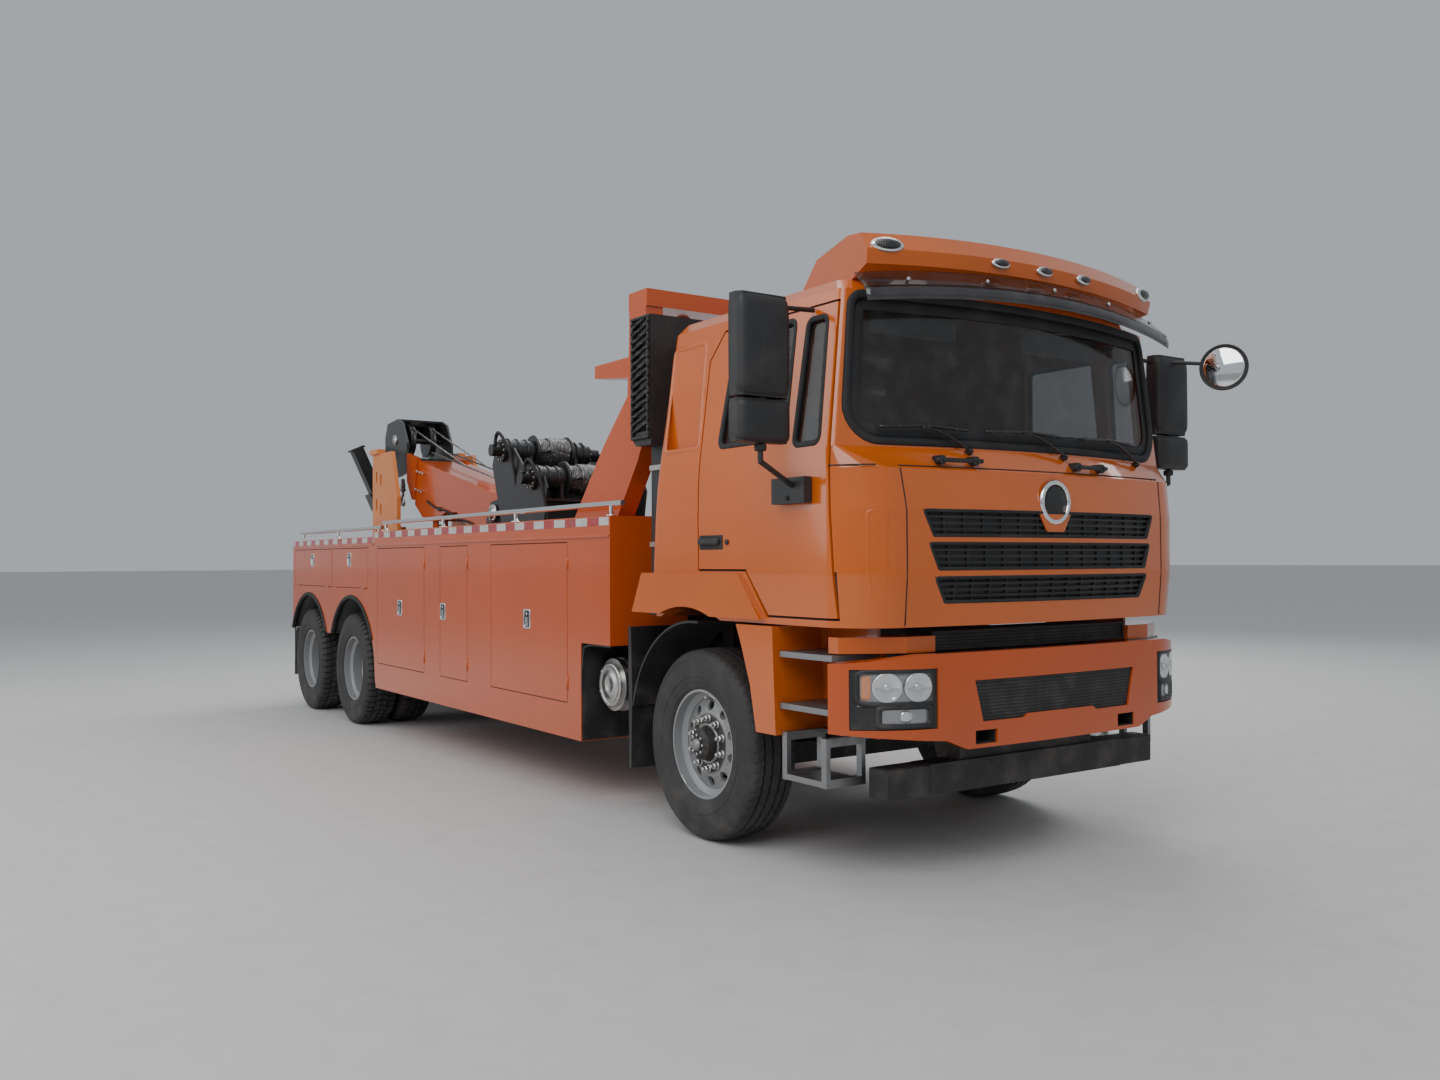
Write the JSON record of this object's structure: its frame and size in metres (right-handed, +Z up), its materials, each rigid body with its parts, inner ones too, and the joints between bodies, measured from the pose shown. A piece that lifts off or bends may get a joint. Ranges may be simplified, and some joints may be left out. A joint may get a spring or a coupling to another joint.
{
  "type": "tow truck",
  "caption": "Heavy recovery truck with a tilting sleeper cab, side lockers, a lifting and extending boom, winch drums and a folding underlift with a cross bar.",
  "frame": {"origin": "on the ground below the middle of the truck's overall box", "axes": "+X forward, +Y to the truck's left, +Z up"},
  "size_m": [9.695, 3.3468, 3.155],
  "materials": {
    "paint_cab": "gloss orange",
    "paint_body": "gloss orange",
    "paint_light": "satin lighter orange",
    "black_metal": "satin black",
    "chassis_metal": "satin dark grey",
    "dark_plastic": "fine grain black",
    "rim_paint": "satin silver",
    "tyre": "moulded tyre rubber",
    "bright": "brushed",
    "rod_chrome": "polished",
    "rope": "greased wire rope",
    "lamp_chrome": "polished",
    "clear_glass": "tinted",
    "trim": "dark woven",
    "silencer": "satin",
    "tread_metal": "perforated"
  },
  "bodies": {
    "chassis": {"frame": "chassis_metal", "running_gear": "chassis_metal", "bumper": "paint_body", "bumper_trim": "dark_plastic", "lamps": "lamp_chrome", "step_wells": "paint_cab", "step_treads": "tread_metal", "mudguards": "dark_plastic", "side_tanks": "silencer", "lockers": "paint_body", "bed_deck": "black_metal", "handrails": "bright", "gantry": "paint_body", "air_intake": "dark_plastic", "winch_stand": "black_metal", "mast": "paint_light"},
    "cab": {"cab_shell": "paint_cab", "cab_glass": "clear_glass", "grille": "dark_plastic", "cab_interior": "trim"},
    "right_cab_door": {"cab_door_right": "paint_cab", "door_glass_right": "clear_glass", "mirror_right": "dark_plastic"},
    "right_knuckle": {"knuckle_right": "chassis_metal"},
    "right_front_wheel": {"tyre_front_right": "tyre", "wheel_front_right": "rim_paint"},
    "right_mid_wheels": {"tyre_mid_right": "tyre", "wheel_mid_right": "rim_paint"},
    "right_rear_wheels": {"tyre_rear_right": "tyre", "wheel_rear_right": "rim_paint"},
    "right_door_c": {"door_c_right": "paint_body"},
    "right_door_b": {"door_b_right": "paint_body"},
    "right_door_a": {"door_a_right": "paint_body"},
    "right_flap_front": {"flap_front_right": "paint_body"},
    "right_flap_rear": {"flap_rear_right": "paint_body"},
    "left_cab_door": {"cab_door_left": "paint_cab", "door_glass_left": "clear_glass", "mirror_left": "dark_plastic"},
    "left_knuckle": {"knuckle_left": "chassis_metal"},
    "left_front_wheel": {"tyre_front_left": "tyre", "wheel_front_left": "rim_paint"},
    "left_mid_wheels": {"tyre_mid_left": "tyre", "wheel_mid_left": "rim_paint"},
    "left_rear_wheels": {"tyre_rear_left": "tyre", "wheel_rear_left": "rim_paint"},
    "left_door_c": {"door_c_left": "paint_body"},
    "left_door_b": {"door_b_left": "paint_body"},
    "left_door_a": {"door_a_left": "paint_body"},
    "left_flap_front": {"flap_front_left": "paint_body"},
    "left_flap_rear": {"flap_rear_left": "paint_body"},
    "boom": {"boom_outer": "paint_body"},
    "boom_extension": {"boom_inner": "black_metal"},
    "lift_cylinders": {"lift_barrels": "black_metal"},
    "lift_pistons": {"lift_rods": "rod_chrome"},
    "upper_drum": {"drum_upper": "rope"},
    "lower_drum": {"drum_lower": "rope"},
    "underlift_carriage": {"underlift_column": "black_metal"},
    "folding_arm": {"underlift_arm": "black_metal"},
    "sliding_stinger": {"stinger": "black_metal"},
    "cross_bar": {"crossbar": "black_metal"}
  },
  "joints": [
    {"name": "cab_tilt", "type": "hinge", "parent": "chassis", "child": "cab", "pos_m": [4.6725, 0, 1], "axis": [0, 1, 0], "range_deg": [0, 50]},
    {"name": "right_cab_door_hinge", "type": "hinge", "parent": "cab", "child": "right_cab_door", "pos_m": [4.5785, -1.228, 1.9], "axis": [0, 0, 1], "range_deg": [0, 70]},
    {"name": "right_steering", "type": "hinge", "parent": "chassis", "child": "right_knuckle", "pos_m": [3.3425, -0.86, 0.52], "axis": [0, 0, 1], "range_deg": [-38, 38]},
    {"name": "right_front_wheel_spin", "type": "hinge", "parent": "right_knuckle", "child": "right_front_wheel", "pos_m": [3.3425, -1.014, 0.52], "axis": [0, 1, 0], "continuous": true},
    {"name": "right_mid_wheel_spin", "type": "hinge", "parent": "chassis", "child": "right_mid_wheels", "pos_m": [-2.4325, -0.93, 0.52], "axis": [0, 1, 0], "continuous": true},
    {"name": "right_rear_wheel_spin", "type": "hinge", "parent": "chassis", "child": "right_rear_wheels", "pos_m": [-3.8325, -0.93, 0.52], "axis": [0, 1, 0], "continuous": true},
    {"name": "right_door_c_hinge", "type": "hinge", "parent": "chassis", "child": "right_door_c", "pos_m": [1.9825, -1.25, 1.13], "axis": [0, 0, 1], "range_deg": [0, 100]},
    {"name": "right_door_b_hinge", "type": "hinge", "parent": "chassis", "child": "right_door_b", "pos_m": [0.3625, -1.25, 1.13], "axis": [0, 0, 1], "range_deg": [0, 100]},
    {"name": "right_door_a_hinge", "type": "hinge", "parent": "chassis", "child": "right_door_a", "pos_m": [-0.5275, -1.25, 1.13], "axis": [0, 0, 1], "range_deg": [0, 100]},
    {"name": "right_flap_front_hinge", "type": "hinge", "parent": "chassis", "child": "right_flap_front", "pos_m": [-2.4825, -1.25, 1.275], "axis": [1, 0, 0], "range_deg": [0, 90]},
    {"name": "right_flap_rear_hinge", "type": "hinge", "parent": "chassis", "child": "right_flap_rear", "pos_m": [-3.7025, -1.25, 1.275], "axis": [1, 0, 0], "range_deg": [0, 90]},
    {"name": "left_cab_door_hinge", "type": "hinge", "parent": "cab", "child": "left_cab_door", "pos_m": [4.5785, 1.228, 1.9], "axis": [0, 0, -1], "range_deg": [0, 70]},
    {"name": "left_steering", "type": "hinge", "parent": "chassis", "child": "left_knuckle", "pos_m": [3.3425, 0.86, 0.52], "axis": [0, 0, 1], "range_deg": [-38, 38]},
    {"name": "left_front_wheel_spin", "type": "hinge", "parent": "left_knuckle", "child": "left_front_wheel", "pos_m": [3.3425, 1.014, 0.52], "axis": [0, 1, 0], "continuous": true},
    {"name": "left_mid_wheel_spin", "type": "hinge", "parent": "chassis", "child": "left_mid_wheels", "pos_m": [-2.4325, 0.93, 0.52], "axis": [0, 1, 0], "continuous": true},
    {"name": "left_rear_wheel_spin", "type": "hinge", "parent": "chassis", "child": "left_rear_wheels", "pos_m": [-3.8325, 0.93, 0.52], "axis": [0, 1, 0], "continuous": true},
    {"name": "left_door_c_hinge", "type": "hinge", "parent": "chassis", "child": "left_door_c", "pos_m": [1.9825, 1.25, 1.13], "axis": [0, 0, -1], "range_deg": [0, 100]},
    {"name": "left_door_b_hinge", "type": "hinge", "parent": "chassis", "child": "left_door_b", "pos_m": [0.3625, 1.25, 1.13], "axis": [0, 0, -1], "range_deg": [0, 100]},
    {"name": "left_door_a_hinge", "type": "hinge", "parent": "chassis", "child": "left_door_a", "pos_m": [-0.5275, 1.25, 1.13], "axis": [0, 0, -1], "range_deg": [0, 100]},
    {"name": "left_flap_front_hinge", "type": "hinge", "parent": "chassis", "child": "left_flap_front", "pos_m": [-2.4825, 1.25, 1.275], "axis": [-1, 0, 0], "range_deg": [0, 90]},
    {"name": "left_flap_rear_hinge", "type": "hinge", "parent": "chassis", "child": "left_flap_rear", "pos_m": [-3.7025, 1.25, 1.275], "axis": [-1, 0, 0], "range_deg": [0, 90]},
    {"name": "boom_lift", "type": "hinge", "parent": "chassis", "child": "boom", "pos_m": [-1.2575, 0, 1.95], "axis": [0, 1, 0], "range_deg": [0, 35]},
    {"name": "boom_extend", "type": "slide", "parent": "boom", "child": "boom_extension", "axis": [-0.9755, 0, 0.2198], "range_m": [0, 1.1]},
    {"name": "lift_cylinder_foot", "type": "hinge", "parent": "chassis", "child": "lift_cylinders", "pos_m": [-2.0075, 0, 1.19], "axis": [0, 1, 0], "range_deg": [0, 34]},
    {"name": "lift_piston", "type": "slide", "parent": "lift_cylinders", "child": "lift_pistons", "axis": [-0.8213, 0, 0.5706], "range_m": [0, 0.66]},
    {"name": "upper_drum_spin", "type": "hinge", "parent": "chassis", "child": "upper_drum", "pos_m": [-0.7175, -0.035, 2.47], "axis": [0, 1, 0], "continuous": true},
    {"name": "lower_drum_spin", "type": "hinge", "parent": "chassis", "child": "lower_drum", "pos_m": [-0.1375, -0.035, 2.2], "axis": [0, 1, 0], "continuous": true},
    {"name": "underlift_slide", "type": "slide", "parent": "chassis", "child": "underlift_carriage", "axis": [0, 0, 1], "range_m": [-0.3, 0]},
    {"name": "underlift_fold", "type": "hinge", "parent": "underlift_carriage", "child": "folding_arm", "pos_m": [-4.4875, 0, 0.8], "axis": [0, -1, 0], "range_deg": [0, 90]},
    {"name": "stinger_extend", "type": "slide", "parent": "folding_arm", "child": "sliding_stinger", "axis": [0, 0, 1], "range_m": [0, 0.3]},
    {"name": "cross_bar_swivel", "type": "hinge", "parent": "sliding_stinger", "child": "cross_bar", "pos_m": [-4.7225, 0, 1.76], "axis": [1, 0, 0], "range_deg": [-24.5, 65.5]}
  ],
  "couplings": [
    {"joint": "left_steering", "follows": "right_steering", "ratio": 1},
    {"joint": "lift_cylinder_foot", "follows": "boom_lift", "ratio": 0.935},
    {"joint": "lift_piston", "follows": "boom_lift", "m_per_rad": 1.046}
  ]
}
